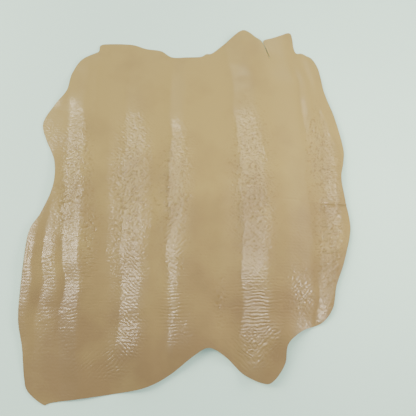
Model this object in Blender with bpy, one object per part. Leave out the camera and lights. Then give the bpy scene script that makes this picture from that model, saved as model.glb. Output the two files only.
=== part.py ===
"""One whole skin of crinkled patent leather, laid out in the soft waves that it took in storage.

Metres, +Z up. The neck end points to +Y and the butt end to -Y. The origin is on the table, under the
middle of the skin's plan. The skin is one piece: a sheet of even thickness with its own outline.
"""

import math
from collections import namedtuple

import bmesh
import bpy
from mathutils import Vector
from mathutils.geometry import delaunay_2d_cdt

# Driving sizes of the sheet and of the mesh that it is drawn with
LEATHER_THICKNESS = 0.0013
PITCH_ACROSS = 0.0105
PITCH_ALONG = 0.0210
RIM_PITCH = 0.0100
RIM_CLEARANCE = 0.0070
SAME_PLACE = 0.000001
SPLINE_STEPS = 24

# Colour of the finish, as linear light
BEIGE = (0.47, 0.38, 0.23, 1.0)
FINISH_ROUGHNESS = 0.34

# The cut edge, clockwise from the nick between the crown of the neck and the ear. A row is one
# place on it: how far across (x) and along (y) the skin it lies. The edge turns sharply only at the nick.
Edge = namedtuple("Edge", "place x y")

RIGHT_SHOULDER = (
    Edge("nick", 0.186, 0.336),
    Edge("nick, right side", 0.179, 0.359),
    Edge("nick, right lip", 0.173, 0.382),
    Edge("ear slope", 0.195, 0.394),
    Edge("ear slope, upper", 0.218, 0.406),
    Edge("ear top", 0.234, 0.413),
    Edge("ear tip", 0.242, 0.409),
    Edge("ear, right side", 0.245, 0.390),
    Edge("ear, right side, low", 0.246, 0.370),
    Edge("ear foot", 0.251, 0.353),
    Edge("shoulder step", 0.263, 0.352),
    Edge("shoulder", 0.275, 0.347),
    Edge("right shoulder", 0.289, 0.337),
    Edge("right shoulder, low", 0.301, 0.306),
)
RIGHT_FLANK = (
    Edge("upper foreleg", 0.309, 0.243),
    Edge("foreleg", 0.327, 0.173),
    Edge("flank bulge", 0.338, 0.101),
    Edge("flank bulge, low", 0.335, 0.067),
    Edge("right waist", 0.327, 0.028),
    Edge("hind bulge, top", 0.331, -0.024),
    Edge("hind bulge", 0.335, -0.085),
    Edge("hind bulge, low", 0.316, -0.153),
    Edge("right stifle", 0.297, -0.200),
    Edge("right hock", 0.286, -0.244),
)
BUTT = (
    Edge("right hind corner", 0.262, -0.273),
    Edge("lobe, upper", 0.222, -0.288),
    Edge("lobe notch", 0.193, -0.312),
    Edge("tongue, right side", 0.186, -0.347),
    Edge("tongue, right tip", 0.165, -0.376),
    Edge("tongue tip", 0.146, -0.383),
    Edge("tongue, left side", 0.108, -0.367),
    Edge("arch, right side", 0.075, -0.336),
    Edge("arch top", 0.044, -0.319),
    Edge("arch, left side", 0.017, -0.331),
    Edge("butt slope", -0.032, -0.368),
    Edge("butt slope, low", -0.077, -0.390),
    Edge("butt", -0.140, -0.402),
    Edge("butt, left", -0.247, -0.416),
    Edge("left hind tip", -0.266, -0.420),
    Edge("left hind corner", -0.298, -0.397),
)
LEFT_FLANK = (
    Edge("left hock", -0.308, -0.372),
    Edge("left stifle", -0.318, -0.319),
    Edge("left hind bulge", -0.333, -0.257),
    Edge("left hind bulge, top", -0.336, -0.155),
    Edge("belly, low", -0.333, -0.088),
    Edge("belly turn", -0.313, -0.045),
    Edge("left waist", -0.293, 0.015),
    Edge("left waist, top", -0.297, 0.073),
    Edge("left foreleg, low", -0.322, 0.127),
    Edge("left foreleg", -0.333, 0.168),
    Edge("left foreleg, top", -0.312, 0.214),
    Edge("left armpit", -0.287, 0.251),
    Edge("left shoulder side", -0.280, 0.297),
    Edge("left shoulder turn", -0.262, 0.332),
)
NECK = (
    Edge("left shoulder", -0.231, 0.353),
    Edge("left notch", -0.221, 0.360),
    Edge("left notch, lip", -0.218, 0.377),
    Edge("neck, left", -0.196, 0.381),
    Edge("neck, left bulge", -0.143, 0.379),
    Edge("neck, left slope", -0.108, 0.367),
    Edge("neck slope, low", -0.072, 0.360),
    Edge("neck hollow, left", -0.042, 0.341),
    Edge("neck hollow, right", 0.018, 0.340),
    Edge("crown foot", 0.036, 0.350),
    Edge("crown step", 0.051, 0.354),
    Edge("crown slope", 0.084, 0.384),
    Edge("crown", 0.124, 0.414),
    Edge("crown, right slope", 0.156, 0.392),
    Edge("nick, left lip", 0.169, 0.380),
    Edge("nick, left side", 0.177, 0.358),
    Edge("nick, left end", 0.185, 0.335),
)
OUTLINE = RIGHT_SHOULDER + RIGHT_FLANK + BUTT + LEFT_FLANK + NECK

# The waves, which run from the neck to the butt. A row is one wave: where along the skin it starts and ends,
# where across it its crest lies at the neck, at the waist and at the butt, its height at those three places,
# how far its two sides run down, and how much of a side is taken by the round of its crest and of its foot.
Wave = namedtuple(
    "Wave",
    "place neck_y butt_y neck_x waist_x butt_x neck_high waist_high butt_high left_run right_run crest foot",
)
WAVES = (
    Wave("left border", -0.04, -0.30, -0.316, -0.320, -0.316, 0.002, 0.007, 0.002, 0.030, 0.023, 0.5, 0.3),
    Wave("left rib", -0.09, -0.24, -0.280, -0.272, -0.266, 0.001, 0.005, 0.001, 0.026, 0.022, 0.5, 0.3),
    Wave("left crease", 0.30, -0.42, -0.243, -0.227, -0.201, 0.003, 0.011, 0.004, 0.044, 0.066, 0.14, 0.4),
    Wave("second wave", 0.30, -0.40, -0.095, -0.087, -0.078, 0.002, 0.013, 0.008, 0.058, 0.052, 0.46, 0.22),
    Wave("third wave", 0.36, -0.34, -0.002, -0.008, -0.016, 0.004, 0.011, 0.008, 0.048, 0.088, 0.5, 0.4),
    Wave("fourth wave", 0.42, -0.39, 0.140, 0.177, 0.160, 0.010, 0.018, 0.014, 0.070, 0.086, 0.46, 0.16),
    Wave("right ridge", 0.33, 0.14, 0.262, 0.271, 0.282, 0.003, 0.005, 0.003, 0.024, 0.022, 0.5, 0.4),
    Wave("right border", 0.26, -0.27, 0.298, 0.332, 0.284, 0.004, 0.011, 0.008, 0.048, 0.050, 0.5, 0.35),
)
WAVE_END_RUN = 0.09

# Places where the sheet stands off the table: the middle of each, its reach both ways and its height.
Lift = namedtuple("Lift", "place x y reach_x reach_y height")
LIFTS = (
    Lift("arch of the butt", 0.040, -0.322, 0.085, 0.090, 0.010),
    Lift("lobe notch", 0.200, -0.300, 0.060, 0.055, 0.007),
    Lift("butt swell", -0.080, -0.335, 0.100, 0.080, 0.005),
    Lift("neck swell", -0.035, 0.300, 0.110, 0.100, 0.003),
    Lift("left waist", -0.300, 0.030, 0.040, 0.090, 0.006),
    Lift("left armpit", -0.292, 0.255, 0.050, 0.060, 0.004),
    Lift("left shoulder", -0.245, 0.330, 0.055, 0.055, 0.002),
    Lift("nick", 0.182, 0.348, 0.060, 0.060, 0.002),
)


def spline_point(before, start, end, after, share):
    """A point between start and end on a Catmull-Rom curve, at the given share of the way."""
    square = share * share
    cube = square * share
    return 0.5 * (
        2 * start
        + (end - before) * share
        + (2 * before - 5 * start + 4 * end - after) * square
        + (3 * start - before - 3 * end + after) * cube
    )


def outline_curve(rows):
    """The cut edge as a dense line through the table's places, from the nick round to the nick."""
    places = [Vector((row.x, row.y)) for row in rows]
    places.append(places[0])
    last = len(places) - 1
    line = []
    for index in range(last):
        before = places[max(index - 1, 0)]
        after = places[min(index + 2, last)]
        for step in range(SPLINE_STEPS):
            share = step / SPLINE_STEPS
            line.append(spline_point(before, places[index], places[index + 1], after, share))
    return line


def middle_of(line):
    """The middle of the line's extent."""
    across = [point.x for point in line]
    along = [point.y for point in line]
    return Vector(((min(across) + max(across)) / 2, (min(along) + max(along)) / 2))


def evenly_spaced(line, pitch):
    """Points on the closed line about one pitch apart, the first of the line among them."""
    lengths = [(line[i] - line[i - 1]).length for i in range(len(line))]
    total = sum(lengths)
    wanted = round(total / pitch)
    spacing = total / wanted
    points = [line[0]]
    travelled = 0.0
    for i in range(1, len(line)):
        travelled += lengths[i]
        if travelled >= spacing * len(points) and len(points) < wanted:
            points.append(line[i])
    return points


def smooth_ramp_area(share):
    """The area under a smooth ramp from 0 to 1, up to this share of it."""
    return share**3 - share**4 / 2


def wave_side(share, crest, foot):
    """Height of a wave's side: 1 on the crest, 0 past its foot, and an even slope between the rounds."""
    if share >= 1:
        return 0.0
    whole = 1 - crest / 2 - foot / 2
    if share < crest:
        fallen = crest * smooth_ramp_area(share / crest)
    elif share < 1 - foot:
        fallen = share - crest / 2
    else:
        fallen = whole - foot * smooth_ramp_area((1 - share) / foot)
    return 1 - fallen / whole


def smooth_step(share):
    """0 below 0, 1 above 1, and smooth between."""
    share = min(max(share, 0.0), 1.0)
    return share * share * (3 - 2 * share)


def along_wave(neck, waist, butt, share):
    """A value at this share of a wave's length, from its values at the neck, the waist and the butt."""
    at_neck = neck * (1 - share) * (1 - 2 * share)
    at_waist = waist * 4 * share * (1 - share)
    at_butt = butt * share * (2 * share - 1)
    return at_neck + at_waist + at_butt


def wave_height(wave, x, y):
    """How high one wave stands over the table at a point of the plan."""
    share = (wave.neck_y - y) / (wave.neck_y - wave.butt_y)
    share = min(max(share, 0.0), 1.0)
    crest_x = along_wave(wave.neck_x, wave.waist_x, wave.butt_x, share)
    height = along_wave(wave.neck_high, wave.waist_high, wave.butt_high, share)
    run = wave.left_run if x < crest_x else wave.right_run
    side = wave_side(abs(x - crest_x) / run, wave.crest, wave.foot)
    past = max(y - wave.neck_y, wave.butt_y - y, 0.0)
    return height * side * (1 - smooth_step(past / WAVE_END_RUN))


def lift_height(lift, x, y):
    """How far one lift raises the sheet at a point of the plan."""
    away = math.hypot((x - lift.x) / lift.reach_x, (y - lift.y) / lift.reach_y)
    return lift.height * (1 - smooth_step(away))


def relief(x, y):
    """Height of the leather's underside over the table. It is 0 where the leather lies on the table."""
    waves = sum(wave_height(wave, x, y) for wave in WAVES)
    return waves + sum(lift_height(lift, x, y) for lift in LIFTS)


def inner_points(rim):
    """Staggered rows of points clear of the rim, which stand closer across the waves than along them."""
    low_x, high_x = min(p.x for p in rim), max(p.x for p in rim)
    low_y, high_y = min(p.y for p in rim), max(p.y for p in rim)
    found = []
    for row in range(int((high_y - low_y) / PITCH_ALONG) + 1):
        shift = PITCH_ACROSS / 2 if row % 2 else 0.0
        for column in range(int((high_x - low_x) / PITCH_ACROSS) + 1):
            point = Vector((low_x + shift + column * PITCH_ACROSS, low_y + row * PITCH_ALONG))
            if min((point - edge).length_squared for edge in rim) > RIM_CLEARANCE**2:
                found.append(point)
    return found


def leather_material():
    """Beige pigment under a clear glossy coat."""
    material = bpy.data.materials.new("patent_leather")
    material.use_nodes = True
    shader = material.node_tree.nodes["Principled BSDF"]
    shader.inputs["Base Color"].default_value = BEIGE
    shader.inputs["Roughness"].default_value = FINISH_ROUGHNESS
    shader.inputs["Metallic"].default_value = 0.0
    material.diffuse_color = BEIGE
    return material


def skin_mesh():
    """The sheet's underside as one triangulated surface, cut to the outline and raised into its waves."""
    line = outline_curve(OUTLINE)
    middle = middle_of(line)
    rim = evenly_spaced(line, RIM_PITCH)
    points = rim + inner_points(rim)
    edge_loop = list(range(len(rim)))
    flat, _, faces, _, _, _ = delaunay_2d_cdt(points, [], [edge_loop], 1, SAME_PLACE)
    mesh = bpy.data.meshes.new("skin")
    raised = [(p.x - middle.x, p.y - middle.y, relief(p.x, p.y)) for p in flat]
    mesh.from_pydata(raised, [], faces)
    shape = bmesh.new()
    shape.from_mesh(mesh)
    outside = [vertex for vertex in shape.verts if not vertex.link_faces]
    bmesh.ops.delete(shape, geom=outside, context="VERTS")
    bmesh.ops.recalc_face_normals(shape, faces=shape.faces)
    if sum(face.normal.z for face in shape.faces) < 0:
        bmesh.ops.reverse_faces(shape, faces=shape.faces)
    shape.to_mesh(mesh)
    shape.free()
    mesh.shade_smooth()
    return mesh


def build_skin():
    """The whole skin: its surface, given the leather's thickness on the upper side."""
    skin = bpy.data.objects.new("skin", skin_mesh())
    bpy.context.scene.collection.objects.link(skin)
    skin.data.materials.append(leather_material())
    thickness = skin.modifiers.new("leather thickness", "SOLIDIFY")
    thickness.thickness = LEATHER_THICKNESS
    thickness.offset = 1.0
    return skin


def clear_scene():
    """An empty scene to build in."""
    for thing in list(bpy.data.objects):
        bpy.data.objects.remove(thing)


clear_scene()
build_skin()
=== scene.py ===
# %% [markdown]
# A whole goatskin, crinkled and patent finished, laid out on a pale table. The real piece is one sheet of
# leather about 1.3 mm thick. Its cut edge follows the animal, its waves come from the roll that it was
# stored in, and its clear coat lies over a crinkle of short parallel lines. The solid model already has
# the edge and the waves. This script repeats both from the same tables at a finer pitch, adds the creases
# and the crinkle, and gives the three surfaces of cut leather their finishes.

# %% Load the solid model and keep its box
import math
from collections import namedtuple

import bpy
import numpy as np
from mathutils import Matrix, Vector, kdtree
from mathutils.geometry import delaunay_2d_cdt


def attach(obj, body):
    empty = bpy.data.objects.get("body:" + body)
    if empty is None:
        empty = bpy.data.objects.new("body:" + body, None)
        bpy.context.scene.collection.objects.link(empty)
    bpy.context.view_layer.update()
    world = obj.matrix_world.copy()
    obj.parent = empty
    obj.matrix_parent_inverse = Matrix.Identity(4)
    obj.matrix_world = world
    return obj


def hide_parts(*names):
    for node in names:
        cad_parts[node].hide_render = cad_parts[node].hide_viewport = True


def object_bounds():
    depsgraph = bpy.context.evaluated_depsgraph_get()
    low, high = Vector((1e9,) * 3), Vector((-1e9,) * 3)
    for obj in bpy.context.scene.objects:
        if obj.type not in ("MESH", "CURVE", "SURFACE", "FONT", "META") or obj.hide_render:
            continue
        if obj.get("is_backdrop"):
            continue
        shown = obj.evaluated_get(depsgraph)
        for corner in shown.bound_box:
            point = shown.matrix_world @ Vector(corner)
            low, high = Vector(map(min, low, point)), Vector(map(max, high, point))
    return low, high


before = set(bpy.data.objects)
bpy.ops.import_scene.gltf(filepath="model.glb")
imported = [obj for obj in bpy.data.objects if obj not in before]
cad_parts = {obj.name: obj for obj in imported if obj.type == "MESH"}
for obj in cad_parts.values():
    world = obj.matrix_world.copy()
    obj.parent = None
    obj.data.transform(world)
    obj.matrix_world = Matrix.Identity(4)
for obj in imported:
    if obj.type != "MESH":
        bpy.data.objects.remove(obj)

solid_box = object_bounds()
print("box of the solid model:", solid_box)

# %% [markdown]
# The cut edge is the first thing that tells a real skin from a cloth: shoulders, flanks and hind legs are
# trimmed round, with a nick at the neck. It could be a Bezier curve, but a table of named places, with a
# smooth line through them, can be read and corrected one place at a time. Lengths are in metres.

# %% The places of the cut edge, clockwise from the nick
Edge = namedtuple("Edge", "place x y")

RIGHT_SHOULDER = (
    Edge("nick", 0.186, 0.336),
    Edge("nick, right side", 0.179, 0.359),
    Edge("nick, right lip", 0.173, 0.382),
    Edge("ear slope", 0.195, 0.394),
    Edge("ear slope, upper", 0.218, 0.406),
    Edge("ear top", 0.234, 0.413),
    Edge("ear tip", 0.242, 0.409),
    Edge("ear, right side", 0.245, 0.390),
    Edge("ear, right side, low", 0.246, 0.370),
    Edge("ear foot", 0.251, 0.353),
    Edge("shoulder step", 0.263, 0.352),
    Edge("shoulder", 0.275, 0.347),
    Edge("right shoulder", 0.289, 0.337),
    Edge("right shoulder, low", 0.301, 0.306),
)
RIGHT_FLANK = (
    Edge("upper foreleg", 0.309, 0.243),
    Edge("foreleg", 0.327, 0.173),
    Edge("flank bulge", 0.338, 0.101),
    Edge("flank bulge, low", 0.335, 0.067),
    Edge("right waist", 0.327, 0.028),
    Edge("hind bulge, top", 0.331, -0.024),
    Edge("hind bulge", 0.335, -0.085),
    Edge("hind bulge, low", 0.316, -0.153),
    Edge("right stifle", 0.297, -0.200),
    Edge("right hock", 0.286, -0.244),
)
BUTT = (
    Edge("right hind corner", 0.262, -0.273),
    Edge("lobe, upper", 0.222, -0.288),
    Edge("lobe notch", 0.193, -0.312),
    Edge("tongue, right side", 0.186, -0.347),
    Edge("tongue, right tip", 0.165, -0.376),
    Edge("tongue tip", 0.146, -0.383),
    Edge("tongue, left side", 0.108, -0.367),
    Edge("arch, right side", 0.075, -0.336),
    Edge("arch top", 0.044, -0.319),
    Edge("arch, left side", 0.017, -0.331),
    Edge("butt slope", -0.032, -0.368),
    Edge("butt slope, low", -0.077, -0.390),
    Edge("butt", -0.140, -0.402),
    Edge("butt, left", -0.247, -0.416),
    Edge("left hind tip", -0.266, -0.420),
    Edge("left hind corner", -0.298, -0.397),
)
LEFT_FLANK = (
    Edge("left hock", -0.308, -0.372),
    Edge("left stifle", -0.318, -0.319),
    Edge("left hind bulge", -0.333, -0.257),
    Edge("left hind bulge, top", -0.336, -0.155),
    Edge("belly, low", -0.333, -0.088),
    Edge("belly turn", -0.313, -0.045),
    Edge("left waist", -0.293, 0.015),
    Edge("left waist, top", -0.297, 0.073),
    Edge("left foreleg, low", -0.322, 0.127),
    Edge("left foreleg", -0.333, 0.168),
    Edge("left foreleg, top", -0.312, 0.214),
    Edge("left armpit", -0.287, 0.251),
    Edge("left shoulder side", -0.280, 0.297),
    Edge("left shoulder turn", -0.262, 0.332),
)
NECK = (
    Edge("left shoulder", -0.231, 0.353),
    Edge("left notch", -0.221, 0.360),
    Edge("left notch, lip", -0.218, 0.377),
    Edge("neck, left", -0.196, 0.381),
    Edge("neck, left bulge", -0.143, 0.379),
    Edge("neck, left slope", -0.108, 0.367),
    Edge("neck slope, low", -0.072, 0.360),
    Edge("neck hollow, left", -0.042, 0.341),
    Edge("neck hollow, right", 0.018, 0.340),
    Edge("crown foot", 0.036, 0.350),
    Edge("crown step", 0.051, 0.354),
    Edge("crown slope", 0.084, 0.384),
    Edge("crown", 0.124, 0.414),
    Edge("crown, right slope", 0.156, 0.392),
    Edge("nick, left lip", 0.169, 0.380),
    Edge("nick, left side", 0.177, 0.358),
    Edge("nick, left end", 0.185, 0.335),
)
OUTLINE = RIGHT_SHOULDER + RIGHT_FLANK + BUTT + LEFT_FLANK + NECK
print(len(OUTLINE), "places on the cut edge")

# %% [markdown]
# The table's places lie a few centimetres apart, and the knife ran smoothly between them. A Catmull-Rom
# curve passes through every place and has no handles to set, so a place that is moved takes the edge with
# it just there. The line begins and ends at the nick, which is why it turns sharply only there.

# %% A smooth line through the places
SPLINE_STEPS = 60


def spline_point(before, start, end, after, share):
    """A point between start and end on a Catmull-Rom curve, at the given share of the way."""
    square = share * share
    cube = square * share
    return 0.5 * (
        2 * start
        + (end - before) * share
        + (2 * before - 5 * start + 4 * end - after) * square
        + (3 * start - before - 3 * end + after) * cube
    )


def outline_curve(rows):
    """The cut edge as a dense line through the table's places, from the nick round to the nick."""
    places = [Vector((row.x, row.y)) for row in rows]
    places.append(places[0])
    last = len(places) - 1
    line = []
    for index in range(last):
        before = places[max(index - 1, 0)]
        after = places[min(index + 2, last)]
        for step in range(SPLINE_STEPS):
            share = step / SPLINE_STEPS
            line.append(spline_point(before, places[index], places[index + 1], after, share))
    return line


def evenly_spaced(line, pitch):
    """Points on the closed line about one pitch apart, the first of the line among them."""
    lengths = [(line[i] - line[i - 1]).length for i in range(len(line))]
    total = sum(lengths)
    wanted = round(total / pitch)
    points = [line[0]]
    travelled = 0.0
    for i in range(1, len(line)):
        travelled += lengths[i]
        if travelled >= total / wanted * len(points) and len(points) < wanted:
            points.append(line[i])
    return points


cut_edge = outline_curve(OUTLINE)
edge_x = np.array([point.x for point in cut_edge])
edge_y = np.array([point.y for point in cut_edge])
MIDDLE = ((edge_x.min() + edge_x.max()) / 2, (edge_y.min() + edge_y.max()) / 2)
print("plan:", np.ptp(edge_x).round(3), "by", np.ptp(edge_y).round(3), "m, middle at", MIDDLE)

# %% [markdown]
# A skin that was rolled up keeps long waves along its spine. Most of the larger ones are steeper towards
# the left, and some places at the rim stand off the table. A cloth simulation would settle them anywhere,
# so they are listed instead: a row for each wave or lift, added up into one height.

# %% The waves and the lifts, as in the solid model
LEATHER_THICKNESS = 0.0013
Wave = namedtuple(
    "Wave",
    "place neck_y butt_y neck_x waist_x butt_x neck_high waist_high butt_high"
    " left_run right_run crest foot",
)
WAVES = (
    Wave("left border", -0.04, -0.30, -0.316, -0.320, -0.316, 0.002, 0.007, 0.002, 0.030, 0.023, 0.5, 0.3),
    Wave("left rib", -0.09, -0.24, -0.280, -0.272, -0.266, 0.001, 0.005, 0.001, 0.026, 0.022, 0.5, 0.3),
    Wave("left crease", 0.30, -0.42, -0.243, -0.227, -0.201, 0.003, 0.011, 0.004, 0.044, 0.066, 0.14, 0.4),
    Wave("second wave", 0.30, -0.40, -0.095, -0.087, -0.078, 0.002, 0.013, 0.008, 0.058, 0.052, 0.46, 0.22),
    Wave("third wave", 0.36, -0.34, -0.002, -0.008, -0.016, 0.004, 0.011, 0.008, 0.048, 0.088, 0.5, 0.4),
    Wave("fourth wave", 0.42, -0.39, 0.140, 0.177, 0.160, 0.010, 0.018, 0.014, 0.070, 0.086, 0.46, 0.16),
    Wave("right ridge", 0.33, 0.14, 0.262, 0.271, 0.282, 0.003, 0.005, 0.003, 0.024, 0.022, 0.5, 0.4),
    Wave("right border", 0.26, -0.27, 0.298, 0.332, 0.284, 0.004, 0.011, 0.008, 0.048, 0.050, 0.5, 0.35),
)
WAVE_END_RUN = 0.09

Lift = namedtuple("Lift", "place x y reach_x reach_y height")
LIFTS = (
    Lift("arch of the butt", 0.040, -0.322, 0.085, 0.090, 0.010),
    Lift("lobe notch", 0.200, -0.300, 0.060, 0.055, 0.007),
    Lift("butt swell", -0.080, -0.335, 0.100, 0.080, 0.005),
    Lift("neck swell", -0.035, 0.300, 0.110, 0.100, 0.003),
    Lift("left waist", -0.300, 0.030, 0.040, 0.090, 0.006),
    Lift("left armpit", -0.292, 0.255, 0.050, 0.060, 0.004),
    Lift("left shoulder", -0.245, 0.330, 0.055, 0.055, 0.002),
    Lift("nick", 0.182, 0.348, 0.060, 0.060, 0.002),
)
print(len(WAVES), "waves and", len(LIFTS), "lifts")

# %% [markdown]
# Bent leather is round on the crest, slopes evenly and runs out flat at its foot. A cosine would be
# simpler, but its slope is nowhere even, and lacquer would mirror a lamp in it as a thin line instead of
# a band. NumPy reckons a whole array of points at once, which keeps a fine mesh quick.

# %% The heights of the waves and the lifts
def smooth_step(share):
    """0 below 0, 1 above 1, and smooth between."""
    share = np.clip(share, 0.0, 1.0)
    return share * share * (3 - 2 * share)


def smooth_ramp_area(share):
    """The area under a smooth ramp from 0 to 1, up to this share of it."""
    share = np.clip(share, 0.0, 1.0)
    return share**3 - share**4 / 2


def wave_side(share, crest, foot):
    """Height of a wave's side: 1 on the crest, 0 past its foot, and an even slope between the rounds."""
    whole = 1 - crest / 2 - foot / 2
    over_crest = crest * smooth_ramp_area(share / crest)
    over_slope = np.clip(share - crest, 0.0, 1 - foot - crest)
    over_foot = foot * (0.5 - smooth_ramp_area((1 - share) / foot))
    return 1 - (over_crest + over_slope + over_foot) / whole


def along_wave(neck, waist, butt, share):
    """A value at this share of a wave's length, from its values at the neck, the waist and the butt."""
    at_neck = neck * (1 - share) * (1 - 2 * share)
    at_waist = waist * 4 * share * (1 - share)
    at_butt = butt * share * (2 * share - 1)
    return at_neck + at_waist + at_butt


def wave_height(wave, x, y):
    """How high one wave stands over the table."""
    share = np.clip((wave.neck_y - y) / (wave.neck_y - wave.butt_y), 0.0, 1.0)
    crest_x = along_wave(wave.neck_x, wave.waist_x, wave.butt_x, share)
    height = along_wave(wave.neck_high, wave.waist_high, wave.butt_high, share)
    run = np.where(x < crest_x, wave.left_run, wave.right_run)
    side = wave_side(np.abs(x - crest_x) / run, wave.crest, wave.foot)
    past = np.maximum(y - wave.neck_y, wave.butt_y - y)
    return height * side * (1 - smooth_step(past / WAVE_END_RUN))


def window(patch, x, y):
    """1 in the middle of a patch, falling smoothly to 0 at its reach."""
    away = np.hypot((x - patch.x) / patch.reach_x, (y - patch.y) / patch.reach_y)
    return 1 - smooth_step(away)


def relief(x, y):
    """Height of the leather's underside over the table."""
    waves = sum(wave_height(wave, x, y) for wave in WAVES)
    return waves + sum(lift.height * window(lift, x, y) for lift in LIFTS)


highest = max(WAVES, key=lambda wave: wave.waist_high)
crest_height = relief(np.array(highest.waist_x), np.array(0.0))
print("height at the crest of the", highest.place + ":", crest_height.round(4), "m")

# %% [markdown]
# No fold in a hide runs as straight as a ruler. Noise could bend the waves, but a few ripples can be read
# and set: each row shifts the waves sideways a little, in a ripple of its own length, slant and start.
# The slant is in degrees and the start in radians.

# %% The unsteady sides of the waves
Ripple = namedtuple("Ripple", "length slant start shift")
RIPPLES = (
    Ripple(0.170, 6, 0.4, 0.0026),
    Ripple(0.097, -9, 2.1, 0.0013),
    Ripple(0.061, 12, 4.0, 0.0006),
)


def wandered(x, y):
    """Where the waves count each point as lying across the skin."""
    shift = 0.0
    for ripple in RIPPLES:
        slant = math.radians(ripple.slant)
        along = y * math.cos(slant) + x * math.sin(slant)
        shift = shift + ripple.shift * np.sin(2 * math.pi * along / ripple.length + ripple.start)
    return x + shift


widest_shift = sum(ripple.shift for ripple in RIPPLES)
print("the sides of the waves wander by up to", round(widest_shift, 4), "m")

# %% [markdown]
# The skin was also folded once across its waist. The fold has been laid flat again and left a low crease,
# clearest where it crosses the right border, and a few soft lines run along the left shoulder. Such a
# line is a trough or a ridge a few millimetres wide, so it is a row too: its two ends, its half width and
# its height.

# %% The creases, which only the fine surface shows
Crease = namedtuple("Crease", "place x1 y1 x2 y2 width height")
CREASES = (
    Crease("old fold, right, upper", 0.245, -0.018, 0.345, -0.029, 0.0030, -0.0013),
    Crease("old fold, right, ridge", 0.240, -0.021, 0.345, -0.032, 0.0036, 0.0016),
    Crease("old fold, right, lower", 0.255, -0.026, 0.345, -0.036, 0.0030, -0.0013),
    Crease("old fold, middle", 0.020, -0.013, 0.270, -0.021, 0.0050, -0.0009),
    Crease("old fold, left", -0.190, -0.006, 0.070, -0.017, 0.0060, -0.0006),
    Crease("left shoulder line", -0.222, 0.350, -0.216, 0.170, 0.0090, 0.0007),
    Crease("left border roll", -0.331, -0.085, -0.334, -0.260, 0.0060, 0.0011),
    Crease("left hock line", -0.300, -0.275, -0.200, -0.235, 0.0070, 0.0002),
    Crease("neck dent", -0.210, 0.365, -0.145, 0.333, 0.0080, -0.0008),
    Crease("foreleg streak", 0.287, 0.240, 0.318, 0.110, 0.0050, 0.0008),
    Crease("foreleg, second streak", 0.300, 0.200, 0.330, 0.080, 0.0040, 0.0007),
)
CREASE_END_RISE = 6


def crease_height(crease, x, y):
    """Height of one crease: full along its middle, and fading to its sides and its two ends."""
    run_x, run_y = crease.x2 - crease.x1, crease.y2 - crease.y1
    along = ((x - crease.x1) * run_x + (y - crease.y1) * run_y) / (run_x**2 + run_y**2)
    along = np.clip(along, 0.0, 1.0)
    away = np.hypot(x - crease.x1 - along * run_x, y - crease.y1 - along * run_y)
    ends = smooth_step(CREASE_END_RISE * along * (1 - along))
    return crease.height * ends * (1 - smooth_step(away / crease.width))


print(len(CREASES), "creases")

# %% [markdown]
# The crinkle is what this finish is sold for. The wet lacquer shrinks as it cures and gathers the grain
# into short ridges 6 to 8 mm apart. Most lie level across the skin and some slant where the hide is
# slack. They are strong towards the butt and nearly gone at the neck, and on the sides of the waves they
# break up into pebbles. One texture all over would be too even, so a table gives each patch of crinkle
# its place, its reach, its strength and its kind: ridges that run one way, or pebbles.

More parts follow.
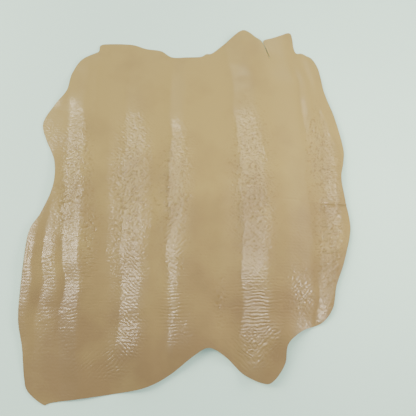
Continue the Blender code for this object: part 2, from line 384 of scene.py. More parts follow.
# %% Where the crinkle is strong, and of which kind it is
RIDGE_SLANT = {"level": 0, "rising": 42, "falling": -42, "upright": 80}
Patch = namedtuple("Patch", "place kind x y reach_x reach_y strength")
PATCHES = (
    Patch("crease foot", "level", -0.200, -0.152, 0.024, 0.105, 1.00),
    Patch("left rib", "level", -0.283, -0.150, 0.028, 0.056, 0.75),
    Patch("left crease, flank", "level", -0.246, -0.050, 0.038, 0.140, 0.80),
    Patch("third wave, butt", "level", -0.030, -0.242, 0.055, 0.080, 0.95),
    Patch("fourth wave, butt", "level", 0.133, -0.240, 0.080, 0.110, 1.00),
    Patch("right border", "level", 0.285, -0.110, 0.040, 0.130, 1.00),
    Patch("left hind leg", "level", -0.205, -0.262, 0.079, 0.067, 0.20),
    Patch("left hind tip", "level", -0.148, -0.366, 0.057, 0.028, 0.45),
    Patch("between third and fourth", "level", 0.064, -0.238, 0.028, 0.075, 0.75),
    Patch("second wave, butt", "level", -0.110, -0.300, 0.050, 0.050, 0.70),
    Patch("second wave, waist", "level", -0.124, 0.030, 0.060, 0.170, 0.65),
    Patch("fourth wave, waist", "level", 0.135, 0.004, 0.047, 0.183, 0.65),
    Patch("second wave", "falling", -0.120, -0.130, 0.055, 0.140, 1.00),
    Patch("second wave, butt", "falling", -0.115, -0.290, 0.055, 0.075, 1.00),
    Patch("third wave", "falling", -0.033, -0.152, 0.045, 0.076, 0.90),
    Patch("fourth wave", "falling", 0.136, -0.070, 0.072, 0.190, 1.00),
    Patch("second wave, neck side", "falling", -0.124, 0.098, 0.058, 0.150, 0.75),
    Patch("tongue, left side", "falling", 0.109, -0.320, 0.040, 0.065, 0.90),
    Patch("right hind leg", "rising", 0.224, -0.213, 0.048, 0.080, 1.00),
    Patch("third wave, waist", "rising", -0.031, -0.052, 0.045, 0.140, 0.80),
    Patch("left hind tip", "rising", -0.165, -0.350, 0.070, 0.045, 1.00),
    Patch("fourth wave", "rising", 0.138, -0.060, 0.068, 0.170, 0.85),
    Patch("tongue, right side", "rising", 0.156, -0.317, 0.040, 0.065, 0.90),
    Patch("left crease, flank", "rising", -0.250, 0.027, 0.038, 0.150, 0.65),
    Patch("second wave, waist", "rising", -0.122, 0.004, 0.060, 0.140, 0.80),
    Patch("right border", "rising", 0.290, -0.090, 0.045, 0.170, 1.00),
    Patch("right foreleg", "upright", 0.286, 0.128, 0.049, 0.130, 0.80),
    Patch("fourth wave, neck side", "upright", 0.131, 0.178, 0.041, 0.104, 0.45),
    Patch("left flank", "upright", -0.301, -0.140, 0.028, 0.080, 0.30),
    Patch("left crease", "pebbles", -0.245, 0.030, 0.055, 0.200, 0.75),
    Patch("second wave", "pebbles", -0.122, 0.010, 0.068, 0.260, 0.80),
    Patch("third wave", "pebbles", -0.030, 0.000, 0.058, 0.220, 0.80),
    Patch("fourth wave", "pebbles", 0.137, 0.020, 0.072, 0.280, 0.80),
    Patch("right border", "pebbles", 0.288, 0.060, 0.050, 0.200, 0.80),
    Patch("right border, butt", "pebbles", 0.290, -0.120, 0.045, 0.150, 0.90),
    Patch("left rib", "pebbles", -0.290, -0.140, 0.040, 0.070, 0.20),
    Patch("crease foot", "pebbles", -0.204, -0.100, 0.030, 0.140, 0.60),
    Patch("between third and fourth", "pebbles", 0.064, -0.225, 0.024, 0.085, 0.40),
    Patch("right hind leg", "pebbles", 0.225, -0.215, 0.048, 0.085, 0.32),
    Patch("tongue", "pebbles", 0.130, -0.315, 0.050, 0.060, 0.25),
    Patch("right border, foot", "pebbles", 0.287, -0.215, 0.030, 0.055, 0.60),
)
Plain = namedtuple("Plain", "at_neck at_butt")
PLAIN_CRINKLE = {
    "pebbles": Plain(0.02, 0.06),
    "level": Plain(0.03, 0.24),
    "rising": Plain(0.01, 0.10),
    "falling": Plain(0.01, 0.14),
    "upright": Plain(0.01, 0.03),
}
NECK_Y = 0.30
NECK_RUN = 0.28
BUTT_Y = -0.26
BUTT_RUN = 0.10
BUTT_LOSS = 0.6


def crinkle_at(kind, x, y):
    """How strong one kind of crinkle is, from 0 to 1: a rise from neck to butt, and its patches."""
    plain = PLAIN_CRINKLE[kind]
    gained = smooth_step((NECK_Y - y) / NECK_RUN)
    lost = BUTT_LOSS * smooth_step((BUTT_Y - y) / BUTT_RUN)
    rise = gained * (1 - lost)
    left_over = 1 - plain.at_neck - (plain.at_butt - plain.at_neck) * rise
    for patch in PATCHES:
        if patch.kind == kind:
            left_over = left_over * (1 - patch.strength * window(patch, x, y))
    return 1 - left_over


print(len(PATCHES), "patches of crinkle")

# %% [markdown]
# Light breaks on every ridge, so the grain side needs real relief. Its mesh is a staggered lattice, half
# as fine at the smooth neck. The flesh side below stays coarse, because nothing small shows there. Both
# share one rim, so that the cut edge can join them with no gap.

# %% The rim, and a lattice of points for a surface
RIM_PITCH = 0.0028
EDGE_NICK = 0.00025
KNIFE_SEED = 7
KNIFE_WAVER = 9
SMOOTH_NECK_Y = 0.20


def ragged(points):
    """The rim as a knife leaves it: each point up to a quarter of a millimetre off the smooth line."""
    seeded = np.random.default_rng(KNIFE_SEED)
    slow = np.convolve(seeded.normal(size=len(points)), np.hanning(KNIFE_WAVER), mode="same")
    slow = EDGE_NICK * slow / np.abs(slow).max()
    rim = []
    for i, point in enumerate(points):
        run = (points[(i + 1) % len(points)] - points[i - 1]).normalized()
        rim.append(point + Vector((-run.y, run.x)) * float(slow[i]))
    return rim


def lattice(pitch_x, pitch_y):
    """Staggered rows of points over the plan, with every second row and column left out at the neck."""
    points = []
    for row in range(int(np.ptp(edge_y) / pitch_y) + 1):
        y = edge_y.min() + row * pitch_y
        every = 2 if y > SMOOTH_NECK_Y else 1
        if row % every:
            continue
        shift = pitch_x * every / 2 if row // every % 2 else 0.0
        for column in range(0, int(np.ptp(edge_x) / pitch_x) + 1, every):
            points.append(Vector((edge_x.min() + shift + column * pitch_x, y)))
    return points


rim = ragged(evenly_spaced(cut_edge, RIM_PITCH))
print("rim points:", len(rim))

# %% [markdown]
# A constrained Delaunay triangulation joins the points and keeps to the rim, which a square grid with its
# corners cut off wouldn't do. Points that are too near the rim are left out, because they would make
# slivers, and every triangle is turned to face up.

# %% Cut two flat surfaces to the edge, a fine one and a coarse one
GRAIN_PITCH = (0.0024, 0.00192)
FLESH_PITCH = (0.0072, 0.0072)
RIM_CLEARANCE = 0.6
SAME_PLACE = 0.000001


def cut_surface(rim, pitch_x, pitch_y):
    """A flat triangulated surface inside the rim. Its first vertices are the rim's, in order."""
    near_rim = kdtree.KDTree(len(rim))
    for i, point in enumerate(rim):
        near_rim.insert((point.x, point.y, 0.0), i)
    near_rim.balance()
    clear = RIM_CLEARANCE * pitch_x
    spread = lattice(pitch_x, pitch_y)
    inner = [point for point in spread if near_rim.find((point.x, point.y, 0.0))[2] > clear]
    points, _, faces, _, _, _ = delaunay_2d_cdt(rim + inner, [], [list(range(len(rim)))], 1, SAME_PLACE)
    faces = np.array(faces)
    corners = np.array([(point.x, point.y) for point in points])
    kept = np.unique(faces)
    a, b, c = (corners[faces[:, i]] for i in range(3))
    turn = (b[:, 0] - a[:, 0]) * (c[:, 1] - a[:, 1]) - (b[:, 1] - a[:, 1]) * (c[:, 0] - a[:, 0])
    faces[turn < 0] = faces[turn < 0][:, ::-1]
    return corners[kept], np.searchsorted(kept, faces)


grain_plan, grain_faces = cut_surface(rim, *GRAIN_PITCH)
flesh_plan, flesh_faces = cut_surface(rim, *FLESH_PITCH)
print("grain side:", len(grain_faces), "triangles, flesh side:", len(flesh_faces), "triangles")

# %% [markdown]
# The flat surface now gets its height from the waves, the lifts and the creases. Displacement in a
# material would look alike in a picture, but an exported model would lose it, so the points themselves
# are moved. Each point also notes how strong every kind of crinkle is there.

# %% Raise the grain side, and note the crinkle on its points
def object_of(name, points, faces):
    """A mesh object at the origin, shaded smooth."""
    mesh = bpy.data.meshes.new(name)
    mesh.from_pydata(points, [], faces)
    mesh.shade_smooth()
    thing = bpy.data.objects.new(name, mesh)
    bpy.context.scene.collection.objects.link(thing)
    return thing


def note(mesh, name, values):
    """Write one number on each point of the mesh, for materials and nodes to read."""
    mesh.attributes.new(name, "FLOAT", "POINT").data.foreach_set("value", values.astype(np.float32))


def raised(plan):
    """Height of the underside at each point of a plan, with its creases."""
    x, y = plan[:, 0], plan[:, 1]
    waved = relief(wandered(x, y), y)
    return waved + np.maximum(sum(crease_height(crease, x, y) for crease in CREASES), -waved)


def in_place(plan, heights):
    """Points of the plan at their heights, in the model's frame."""
    return np.column_stack((plan[:, 0] - MIDDLE[0], plan[:, 1] - MIDDLE[1], heights))


grain = object_of("grain side", in_place(grain_plan, raised(grain_plan) + LEATHER_THICKNESS), grain_faces)
for kind in PLAIN_CRINKLE:
    note(grain.data, kind, crinkle_at(kind, grain_plan[:, 0], grain_plan[:, 1]))
print("grain side raised to", round(max(grain.bound_box[6]), 4), "m")

# %% [markdown]
# Every node below comes from one small function: it adds a node, sets it up and links what feeds it.
# Colours are written as the eye reads them on a screen, in hex, and one function turns them to the linear
# light that shaders reckon in.

# %% Two helpers for nodes and colours
def add(tree, kind, feeds=None, **settings):
    """Add a node: settings are its own properties, and feeds its inputs, by name or number."""
    made = tree.nodes.new(kind)
    for name, value in settings.items():
        setattr(made, name, value)
    for name, value in (feeds or {}).items():
        if isinstance(value, bpy.types.NodeSocket):
            tree.links.new(value, made.inputs[name])
        else:
            made.inputs[name].default_value = value
    return made


def linear(hex_colour):
    """Linear red, green, blue and alpha of an sRGB hex colour."""
    levels = [int(hex_colour[i:i + 2], 16) / 255 for i in (1, 3, 5)]
    return [c / 12.92 if c <= 0.04045 else ((c + 0.055) / 1.055) ** 2.4 for c in levels] + [1.0]


print("mid grey on a screen is", round(linear("#808080")[0], 3), "of full light")

# %% [markdown]
# The crinkle follows a rule: ridges at an even spacing, rounded on top and sharp between, that wander,
# break off and start again, over small pebbles. An image could hold it, but sizes in millimetres can be
# changed one by one, and noise gives it back the same on every run.

# %% The sizes of the crinkle
MM = 0.001
CRINKLE = {
    "Ridge spacing": 6.4 * MM,
    "Ridge length": 20 * MM,
    "Wander": 15 * MM,
    "Wander size": 24 * MM,
    "Pebble size": 5.5 * MM,
    "Seed": 3.0,
}
RIDGE_MIDDLE = 0.64
NOISE_LOW, NOISE_HIGH = 0.3, 0.7
PEBBLE_HEIGHT = 2.1
BREAK_PITCH = 0.45
BREAK_LOW, BREAK_HIGH = 0.38, 0.55
BREAK_LEFT = 0.1
print("ridges", round(CRINKLE["Ridge spacing"] / MM, 1), "mm apart")

# %% [markdown]
# The absolute value of a sine is round on top and sharp between, as a ridge is. One noise bends the rows,
# and another, stretched along them, breaks them off. One function draws this in nodes. Geometry Nodes use
# the drawing to move the surface, and the finish uses the same drawing for what is finer than the mesh,
# so the two agree.

# %% The drawing of the crinkle, in nodes
def draw_ridges(tree, place, wander, slant, size):
    """Nodes that draw ridges at one slant, round on top, sharp between and broken off here and there."""
    cos, sin = math.cos(math.radians(slant)), math.sin(math.radians(slant))
    across = add(tree, "ShaderNodeVectorMath", {0: place, 1: (-sin, cos, 0.0)}, operation="DOT_PRODUCT")
    along = add(tree, "ShaderNodeVectorMath", {0: place, 1: (cos, sin, 0.0)}, operation="DOT_PRODUCT")
    bent = add(tree, "ShaderNodeMath", {0: across.outputs["Value"], 1: wander}, operation="ADD")
    phase = add(
        tree, "ShaderNodeMath", {0: bent.outputs[0], 1: size["Ridge spacing"]}, operation="DIVIDE"
    )
    half_turn = add(tree, "ShaderNodeMath", {0: phase.outputs[0], 1: math.pi}, operation="MULTIPLY")
    wave = add(tree, "ShaderNodeMath", {0: half_turn.outputs[0]}, operation="SINE")
    ridge = add(tree, "ShaderNodeMath", {0: wave.outputs[0]}, operation="ABSOLUTE")
    level = add(tree, "ShaderNodeMath", {0: ridge.outputs[0], 1: RIDGE_MIDDLE}, operation="SUBTRACT")
    lengths = add(
        tree, "ShaderNodeMath", {0: along.outputs["Value"], 1: size["Ridge length"]}, operation="DIVIDE"
    )
    rows = add(tree, "ShaderNodeMath", {0: phase.outputs[0], 1: BREAK_PITCH}, operation="MULTIPLY")
    spot = add(tree, "ShaderNodeCombineXYZ", {0: lengths.outputs[0], 1: rows.outputs[0], 2: slant})
    breaks = add(tree, "ShaderNodeTexNoise", {"Vector": spot.outputs[0], "Scale": 1.0, "Detail": 1.0})
    share = add(
        tree,
        "ShaderNodeMapRange",
        {0: breaks.outputs[0], 1: BREAK_LOW, 2: BREAK_HIGH, 3: BREAK_LEFT, 4: 1.0},
    )
    whole = add(tree, "ShaderNodeMath", {0: level.outputs[0], 1: share.outputs[0]}, operation="MULTIPLY")
    return whole.outputs[0]


def draw_crinkle(tree, place, strengths, size):
    """Nodes that draw the crinkle as a height, in ridge depths: four kinds of ridge over pebbles."""
    noise = {"Vector": place, "W": size["Seed"], "Detail": 2.0}
    bend_often = add(tree, "ShaderNodeMath", {0: 1.0, 1: size["Wander size"]}, operation="DIVIDE")
    bend = add(
        tree, "ShaderNodeTexNoise", {**noise, "Scale": bend_often.outputs[0]}, noise_dimensions="4D"
    )
    wander = add(tree, "ShaderNodeMath", {0: bend.outputs[0], 1: size["Wander"]}, operation="MULTIPLY")
    pebble_often = add(tree, "ShaderNodeMath", {0: 1.0, 1: size["Pebble size"]}, operation="DIVIDE")
    pebbles = add(
        tree, "ShaderNodeTexNoise", {**noise, "Scale": pebble_often.outputs[0]}, noise_dimensions="4D"
    )
    pebble = add(
        tree,
        "ShaderNodeMapRange",
        {0: pebbles.outputs[0], 1: NOISE_LOW, 2: NOISE_HIGH, 3: -PEBBLE_HEIGHT, 4: PEBBLE_HEIGHT},
    )
    pebble.clamp = False
    scattered = add(
        tree, "ShaderNodeMath", {0: pebble.outputs[0], 1: strengths["pebbles"]}, operation="MULTIPLY"
    )
    drawn = scattered.outputs[0]
    for kind, slant in RIDGE_SLANT.items():
        ridges = draw_ridges(tree, place, wander.outputs[0], slant, size)
        strong = add(
            tree, "ShaderNodeMath", {0: ridges, 1: strengths[kind], 2: drawn}, operation="MULTIPLY_ADD"
        )
        drawn = strong.outputs[0]
    return drawn


print("kinds of ridge:", ", ".join(RIDGE_SLANT))

# %% [markdown]
# The grain side is patent goatskin: a dyed hide, sprayed with beige pigment and flooded with clear
# lacquer. Its tone drifts by a few per cent over a hand's width. Painted shade darkens it towards the butt,
# where the light falls off, and darkens the furrows of the crinkle. A painted image could hold all this,
# but noise needs no file and has no seams.

# %% The colours of the grain side
PIGMENT = "#A28E52"
# Painted shade towards the butt; the tone drift also moves the colour towards it.
DRIFT_TONE_AND_BUTT_SHADE = "#826B43"
# Painted shade in the furrows of the crinkle.
FURROW_SHADE_COLOUR = "#7F6734"
TONE_SIZE, TONE_DRIFT = 90 * MM, 0.3
BUTT_SHADE_START, BUTT_SHADE_END = 0.15, -0.35
FURROW_TOP, FURROW_BOTTOM, FURROW_SHADE = -0.1, -0.9, 0.7


def grain_colour(tree, place, drawn):
    """Nodes that mix the pigment with painted shade: towards the butt, and in the furrows."""
    drift = add(tree, "ShaderNodeTexNoise", {"Vector": place, "Scale": 1 / TONE_SIZE, "Detail": 3.0})
    uneven = add(
        tree,
        "ShaderNodeMapRange",
        {0: drift.outputs[0], 1: NOISE_LOW, 2: NOISE_HIGH, 3: -TONE_DRIFT, 4: TONE_DRIFT},
    )
    parts = add(tree, "ShaderNodeSeparateXYZ", {0: place})
    # Painted shade: darker towards the butt, where the light falls off towards the near side.
    butt = add(tree, "ShaderNodeMapRange", {0: parts.outputs["Y"], 1: BUTT_SHADE_START, 2: BUTT_SHADE_END})
    share = add(tree, "ShaderNodeMath", {0: butt.outputs[0], 1: uneven.outputs[0]}, operation="ADD")
    share.use_clamp = True
    tone_and_butt_shade = add(tree, "ShaderNodeMix", {0: share.outputs[0]}, data_type="RGBA")
    tone_and_butt_shade.inputs[6].default_value = linear(PIGMENT)
    tone_and_butt_shade.inputs[7].default_value = linear(DRIFT_TONE_AND_BUTT_SHADE)
    # Painted shade: the furrows of the crinkle are darkened.
    furrow_shade_share = add(
        tree,
        "ShaderNodeMapRange",
        {0: drawn, 1: FURROW_TOP, 2: FURROW_BOTTOM, 3: 0.0, 4: FURROW_SHADE},
    )
    colour = add(tree, "ShaderNodeMix", {0: furrow_shade_share.outputs[0]}, data_type="RGBA")
    tree.links.new(tone_and_butt_shade.outputs[2], colour.inputs[6])
    colour.inputs[7].default_value = linear(FURROW_SHADE_COLOUR)
    return colour.outputs[2]


# The last two colours are painted shade.
print("pigments:", PIGMENT, DRIFT_TONE_AND_BUTT_SHADE, FURROW_SHADE_COLOUR)

# %% [markdown]
# The pigment is satin. The lacquer above it, with an index of refraction of about 1.5, gives small bright
# glints on the ridges, so it is the shader's coat and not more gloss in the colour below. The pores are
# finer than a picture shows, so they are drawn 1.2 mm apart, as a very low bump.

# %% The finish of the grain side
PIGMENT_SPECULAR = 0.25
SATIN_SIZE = 25 * MM
SATIN_LOW, SATIN_HIGH = 0.36, 0.48
PORE_SIZE, PORE_DEPTH = 1.2 * MM, 0.03 * MM
RIDGE_BUMP = 0.46 * MM
LACQUER_IOR = 1.48
LACQUER_ROUGHNESS = 0.21


def patent_goatskin():
    """Beige pigment under clear lacquer, which shows as broken glints on a soft satin."""
    material = bpy.data.materials.new("patent goatskin, crinkled")
    material.use_nodes = True
    tree = material.node_tree
    shader = tree.nodes["Principled BSDF"]
    place = add(tree, "ShaderNodeTexCoord").outputs["Object"]
    noted = {kind: add(tree, "ShaderNodeAttribute", attribute_name=kind) for kind in PLAIN_CRINKLE}
    strengths = {kind: node.outputs["Fac"] for kind, node in noted.items()}
    drawn = draw_crinkle(tree, place, strengths, CRINKLE)
    tree.links.new(grain_colour(tree, place, drawn), shader.inputs["Base Color"])
    gloss = add(tree, "ShaderNodeTexNoise", {"Vector": place, "Scale": 1 / SATIN_SIZE, "Detail": 4.0})
    satin = add(
        tree,
        "ShaderNodeMapRange",
        {0: gloss.outputs[0], 1: NOISE_LOW, 2: NOISE_HIGH, 3: SATIN_LOW, 4: SATIN_HIGH},
    )
    tree.links.new(satin.outputs[0], shader.inputs["Roughness"])
    pores = add(tree, "ShaderNodeTexVoronoi", {"Vector": place, "Scale": 1 / PORE_SIZE})
    pore_bump = add(tree, "ShaderNodeBump", {"Height": pores.outputs["Distance"], "Distance": PORE_DEPTH})
    ridge_bump = add(
        tree,
        "ShaderNodeBump",
        {"Height": drawn, "Distance": RIDGE_BUMP, "Normal": pore_bump.outputs["Normal"]},
    )
    tree.links.new(ridge_bump.outputs["Normal"], shader.inputs["Normal"])
    tree.links.new(ridge_bump.outputs["Normal"], shader.inputs["Coat Normal"])
    shader.inputs["IOR"].default_value = LACQUER_IOR
    shader.inputs["Coat IOR"].default_value = LACQUER_IOR
    shader.inputs["Coat Weight"].default_value = 1.0
    shader.inputs["Coat Roughness"].default_value = LACQUER_ROUGHNESS
    shader.inputs["Specular IOR Level"].default_value = PIGMENT_SPECULAR
    return material


finish = patent_goatskin()
print("material:", finish.name)

# %% [markdown]
# Geometry Nodes now move the surface by the drawing, because spacing, length, wander and depth stay named
# sizes that can be tried out. The tree reads the five strengths that were noted on the points, moves each
# point along its normal, and hands back a plain mesh. A slow slack of half a millimetre keeps the wave
# sides from being even.

# %% A tree that crinkles a surface
RIDGE_DEPTH = 0.40 * MM
SLACK_DEPTH = 1.1 * MM
SLACK_SIZE = 38 * MM


def crinkle_tree():
    """Geometry Nodes that move the points of a surface into the drawn crinkle."""
    tree = bpy.data.node_groups.new("crinkle of the lacquer", "GeometryNodeTree")
    tree.interface.new_socket("Surface", in_out="INPUT", socket_type="NodeSocketGeometry")
    sizes = {**CRINKLE, "Ridge depth": RIDGE_DEPTH, "Slack depth": SLACK_DEPTH, "Slack size": SLACK_SIZE}
    for name, size in sizes.items():
        socket = tree.interface.new_socket(name, in_out="INPUT", socket_type="NodeSocketFloat")
        socket.default_value = size
    tree.interface.new_socket("Finish", in_out="INPUT", socket_type="NodeSocketMaterial")
    tree.interface.new_socket("Surface", in_out="OUTPUT", socket_type="NodeSocketGeometry")
    given = add(tree, "NodeGroupInput").outputs
    place = add(tree, "GeometryNodeInputPosition").outputs[0]
    noted = {kind: add(tree, "GeometryNodeInputNamedAttribute", {0: kind}) for kind in PLAIN_CRINKLE}
    strengths = {kind: node.outputs[0] for kind, node in noted.items()}
    drawn = draw_crinkle(tree, place, strengths, {name: given[name] for name in CRINKLE})
    slack_often = add(tree, "ShaderNodeMath", {0: 1.0, 1: given["Slack size"]}, operation="DIVIDE")
    slack = add(
        tree,
        "ShaderNodeTexNoise",
        {"Vector": place, "W": given["Seed"], "Scale": slack_often.outputs[0], "Detail": 1.0},
        noise_dimensions="4D",
    )
    sag = add(tree, "ShaderNodeMath", {0: slack.outputs[0], 1: 0.5}, operation="SUBTRACT")
    low = add(tree, "ShaderNodeMath", {0: sag.outputs[0], 1: given["Slack depth"]}, operation="MULTIPLY")
    height = add(
        tree,
        "ShaderNodeMath",
        {0: drawn, 1: given["Ridge depth"], 2: low.outputs[0]},
        operation="MULTIPLY_ADD",
    )
    normal = add(tree, "GeometryNodeInputNormal")
    offset = add(
        tree,
        "ShaderNodeVectorMath",
        {0: normal.outputs[0], "Scale": height.outputs[0]},
        operation="SCALE",
    )
    moved = add(
        tree, "GeometryNodeSetPosition", {"Geometry": given["Surface"], "Offset": offset.outputs[0]}
    )
    plain = add(tree, "GeometryNodeRealizeInstances", {"Geometry": moved.outputs[0]})
    dressed = add(
        tree, "GeometryNodeSetMaterial", {"Geometry": plain.outputs[0], "Material": given["Finish"]}
    )
    add(tree, "NodeGroupOutput", {0: dressed.outputs[0]})
    return tree


def through_tree(thing, tree, **sizes):
    """The plain mesh that a tree makes of an object, with the tree's inputs set by name."""
    modifier = thing.modifiers.new(tree.name, "NODES")
    modifier.node_group = tree
    for socket in tree.interface.items_tree:
        if socket.in_out == "INPUT" and socket.name in sizes:
            modifier[socket.identifier] = sizes[socket.name]
    evaluated = thing.evaluated_get(bpy.context.evaluated_depsgraph_get())
    mesh = bpy.data.meshes.new_from_object(evaluated)
    thing.modifiers.remove(modifier)
    return mesh


crinkled = through_tree(grain, crinkle_tree(), Finish=finish)
print("crinkled surface:", len(crinkled.polygons), "triangles")

# %% [markdown]
# Cut leather has three faces. Under the lacquered grain, the flesh side is suede: short loose fibres,
# quite matt, with a little sheen. The knife's edge between them is bare fibre, paler and pinker than the
# finish, and it shows in the photograph as a thin line round the skin.

# %% The finishes of the flesh side and the cut edge
FLESH = "#C3AC8C"
FLESH_SHADE = "#AA9070"
RAW_EDGE = "#C09A78"
RAW_EDGE_DARK = "#A47F60"
FLESH_FIBRE, EDGE_FIBRE = 3 * MM, 1.5 * MM
FLESH_SHEEN = 0.25
NAP_STRENGTH, NAP_DEPTH = 0.5, 0.3 * MM
FIBRE_ROUGHNESS = 0.92


def bare_fibre(name, light, dark, fibre_size, sheen):
    """Matt bare leather fibre in two mixed tones, with the loose nap of its surface."""
    material = bpy.data.materials.new(name)
    material.use_nodes = True
    tree = material.node_tree
    shader = tree.nodes["Principled BSDF"]
    place = add(tree, "ShaderNodeTexCoord").outputs["Object"]
    nap = add(tree, "ShaderNodeTexNoise", {"Vector": place, "Scale": 1 / fibre_size, "Detail": 4.0})
    tone = add(tree, "ShaderNodeMix", {"Factor": nap.outputs["Fac"]}, data_type="RGBA")
    tone.inputs[6].default_value = linear(light)
    tone.inputs[7].default_value = linear(dark)
    tree.links.new(tone.outputs[2], shader.inputs["Base Color"])
    raised_nap = {"Height": nap.outputs["Fac"], "Strength": NAP_STRENGTH, "Distance": NAP_DEPTH}
    bump = add(tree, "ShaderNodeBump", raised_nap)
    tree.links.new(bump.outputs["Normal"], shader.inputs["Normal"])
    shader.inputs["Roughness"].default_value = FIBRE_ROUGHNESS
    shader.inputs["Sheen Weight"].default_value = sheen
    return material


flesh_finish = bare_fibre("suede flesh side", FLESH, FLESH_SHADE, FLESH_FIBRE, FLESH_SHEEN)
edge_finish = bare_fibre("knife-cut edge", RAW_EDGE, RAW_EDGE_DARK, EDGE_FIBRE, 0.0)
print("materials:", flesh_finish.name, "and", edge_finish.name)

# %% [markdown]
# A Solidify modifier could thicken the sheet, but it would copy the fine mesh to the flesh side. Two rows
# of quads join the fine surface to the coarse one instead. The middle of the edge is pressed out a
# little, because cut leather is never quite square.

# %% Join grain, edge and flesh into one closed sheet
EDGE_BULGE = 0.00015
SHARP_ANGLE = 50


def edge_ring(points):
    """The middle of the cut edge, half way down and pressed out a little."""
    run = np.roll(points, -1, axis=0) - np.roll(points, 1, axis=0)
    run /= np.linalg.norm(run, axis=1)[:, None]
    outward = np.column_stack((-run[:, 1], run[:, 0], np.zeros(len(points))))
    return points + outward * EDGE_BULGE


def wall(upper, lower, count):
    """Quads that join two rings of points, given the number of the first point in each."""
    here = np.arange(count)
    following = (here + 1) % count
    return np.column_stack((upper + here, upper + following, lower + following, lower + here))


grain_points = np.array([vertex.co for vertex in crinkled.vertices])
flesh_points = in_place(flesh_plan, raised(flesh_plan))
count = len(rim)
middle_points = edge_ring((grain_points[:count] + flesh_points[:count]) / 2)
middle_start = len(grain_points)
flesh_start = middle_start + count
points = np.vstack((grain_points, middle_points, flesh_points))
walls = np.vstack((wall(0, middle_start, count), wall(middle_start, flesh_start, count)))
faces = [list(face.vertices) for face in crinkled.polygons]
faces += walls.tolist()
faces += (flesh_faces[:, ::-1] + flesh_start).tolist()
hide = object_of("crinkled_goatskin", points, faces)
for material in (finish, edge_finish, flesh_finish):
    hide.data.materials.append(material)
surface_of_face = np.repeat((0, 1, 2), (len(crinkled.polygons), len(walls), len(flesh_faces)))
hide.data.polygons.foreach_set("material_index", surface_of_face.astype(np.int32))
bare = np.zeros(len(points) - len(grain_plan))
for kind in PLAIN_CRINKLE:
    strength = crinkle_at(kind, grain_plan[:, 0], grain_plan[:, 1])
    note(hide.data, kind, np.concatenate((strength, bare)))
hide.data.set_sharp_from_angle(angle=math.radians(SHARP_ANGLE))
bpy.data.objects.remove(grain)
triangles = sum(len(face.vertices) - 2 for face in hide.data.polygons)
print("the skin:", len(hide.data.vertices), "points,", triangles, "triangles")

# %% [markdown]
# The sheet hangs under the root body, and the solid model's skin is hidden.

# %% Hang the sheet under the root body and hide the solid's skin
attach(hide, "root")
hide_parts("skin")

# %% [markdown]
# The skin lies on a pale painted table, which the photograph shows with no pattern, so a large flat face
# is enough. It lies a fifth of a millimetre low, so that it can't show through the leather. As a stage it
# isn't part of the object.

# %% The table
TABLE = "#D9FFF4"
TABLE_ROUGHNESS = 0.6
HALF_TABLE = 3.0
TABLE_DROP = -0.0002
floor_mesh = bpy.data.meshes.new("table top")
corners = [(x, y, TABLE_DROP) for x, y in ((-1, -1), (1, -1), (1, 1), (-1, 1))]
floor_mesh.from_pydata([(x * HALF_TABLE, y * HALF_TABLE, z) for x, y, z in corners], [], [(0, 1, 2, 3)])
table = bpy.data.objects.new("table_top", floor_mesh)
bpy.context.scene.collection.objects.link(table)
table_finish = bpy.data.materials.new("pale painted table")
table_finish.use_nodes = True
table_shader = table_finish.node_tree.nodes["Principled BSDF"]
table_shader.inputs["Base Color"].default_value = linear(TABLE)
table_shader.inputs["Roughness"].default_value = TABLE_ROUGHNESS
floor_mesh.materials.append(table_finish)
table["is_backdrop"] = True
print("table:", 2 * HALF_TABLE, "m square")

# %% [markdown]
# Rows of short lamp tubes stand high on the left: their mirrored light whitens the left side of each wave
# and draws bright lines on the ridges. Broad lamps would do for a matt cloth, but on lacquer they would
# veil the whole skin. Each tube has its place, its length in metres, the angle that its light spreads
# over, and its power in watts.

# %% Rows of lamp tubes on the left
def soft_light(name, place, aim, width, length, power, colour, spread=180):
    """A rectangular area light at a place, turned to its aim, that spreads over so many degrees."""
    light = bpy.data.lights.new(name, "AREA")
    light.shape = "RECTANGLE"
    light.size = width
    light.size_y = length
    light.energy = power
    light.color = linear(colour)[:3]
    light.spread = math.radians(spread)
    lamp = bpy.data.objects.new(name, light)
    lamp.location = place
    lamp.rotation_euler = (Vector(aim) - Vector(place)).to_track_quat("-Z", "Y").to_euler()
    bpy.context.scene.collection.objects.link(lamp)


Tube = namedtuple("Tube", "name x z length aim_x spread power")
TUBES = (
    Tube("near tube", -0.35, 1.40, 0.6, 0.45, 40, 1.05),
    Tube("middle tube", -1.20, 1.35, 0.6, 0.00, 180, 13.0),
    Tube("far tube", -2.20, 1.20, 1.0, -0.25, 180, 16.5),
)
TubeRow = namedtuple("TubeRow", "name y share")
TUBE_ROWS = (TubeRow("first row", 0.25, 1.0), TubeRow("second row", 0.85, 0.58))
TUBE_WIDTH = 0.14
TUBE_LEAN = 0.3
TUBE_COLOUR = "#FFF1D8"
for row in TUBE_ROWS:
    for tube in TUBES:
        name = row.name + ", " + tube.name
        place = (tube.x, row.y, tube.z)
        aim = (tube.aim_x, row.y - TUBE_LEAN, 0.0)
        power = tube.power * row.share
        soft_light(name, place, aim, TUBE_WIDTH, tube.length, power, TUBE_COLOUR, tube.spread)
print(len(TUBE_ROWS), "rows of", len(TUBES), "lamp tubes")

# %% [markdown]
# A window and a pale wall would give soft light from two more sides, and the walls all round a little
# from everywhere. Two wide lights and a plain world stand for them. A sky texture would be too blue, and
# its sun would be mirrored in the lacquer.

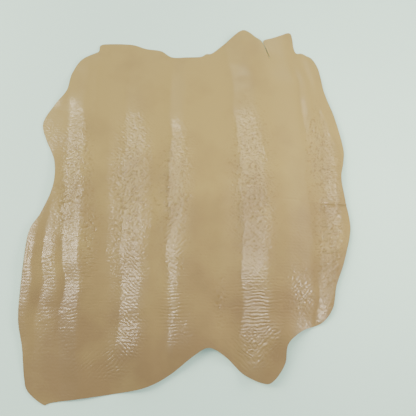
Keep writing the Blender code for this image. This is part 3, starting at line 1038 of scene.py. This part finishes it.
# %% Two wide lights and the room
WideLight = namedtuple("WideLight", "name place aim width height power colour")
WIDE_LIGHTS = (
    WideLight("light from behind", (0.4, 2.2, 0.75), (0.15, 0.4, 0.0), 4.0, 1.2, 14, "#F6FBFF"),
    WideLight("light from the right", (2.2, 0.2, 0.7), (0.3, 0.0, 0.0), 1.4, 0.5, 60, "#FFF5E2"),
)
for wide in WIDE_LIGHTS:
    soft_light(*wide)
ROOM_COLOUR = "#F6FBFB"
ROOM_STRENGTH = 0.78
room = bpy.data.worlds.new("pale room")
room.use_nodes = True
background = room.node_tree.nodes["Background"]
background.inputs["Color"].default_value = linear(ROOM_COLOUR)
background.inputs["Strength"].default_value = ROOM_STRENGTH
bpy.context.scene.world = room
print(len(WIDE_LIGHTS), "wide lights, and a room of strength", ROOM_STRENGTH)

# %% [markdown]
# The photograph was taken from in front and above. A camera could be placed by its coordinates, but three
# plain numbers say more: how far it is from the middle of the picture, how high up it stands, and how
# wide its lens sees.

# %% The camera
PICTURE_MIDDLE = (0.0405, -0.0345)
LOOK_AT = Vector((PICTURE_MIDDLE[0] - MIDDLE[0], PICTURE_MIDDLE[1] - MIDDLE[1], 0.0))
CAMERA_ELEVATION = math.radians(72)
CAMERA_DISTANCE = 0.95
CAMERA_ANGLE = math.radians(50)
NEAREST_SEEN = 0.01
camera_data = bpy.data.cameras.new("camera")
camera_data.angle = CAMERA_ANGLE
camera_data.clip_start = NEAREST_SEEN
camera = bpy.data.objects.new("camera", camera_data)
back = Vector((0.0, -math.cos(CAMERA_ELEVATION), math.sin(CAMERA_ELEVATION)))
camera.location = LOOK_AT + back * CAMERA_DISTANCE
camera.rotation_euler = back.to_track_quat("Z", "Y").to_euler()
bpy.context.scene.collection.objects.link(camera)
bpy.context.scene.camera = camera
print("camera at", [round(part, 3) for part in camera.location])

# %% [markdown]
# A simulator works with the solid, so the finished skin has to keep to the solid's box within a few
# millimetres. Both boxes are printed, and the last line sets them side by side.

# %% Print the two boxes and set them side by side
dressed_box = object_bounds()
print("box of the dressed model:", dressed_box)


def plain_lists(value):
    """A box as plain lists of numbers."""
    return [plain_lists(part) for part in value] if hasattr(value, "__len__") else float(value)


{"solid": plain_lists(solid_box), "dressed": plain_lists(dressed_box)}
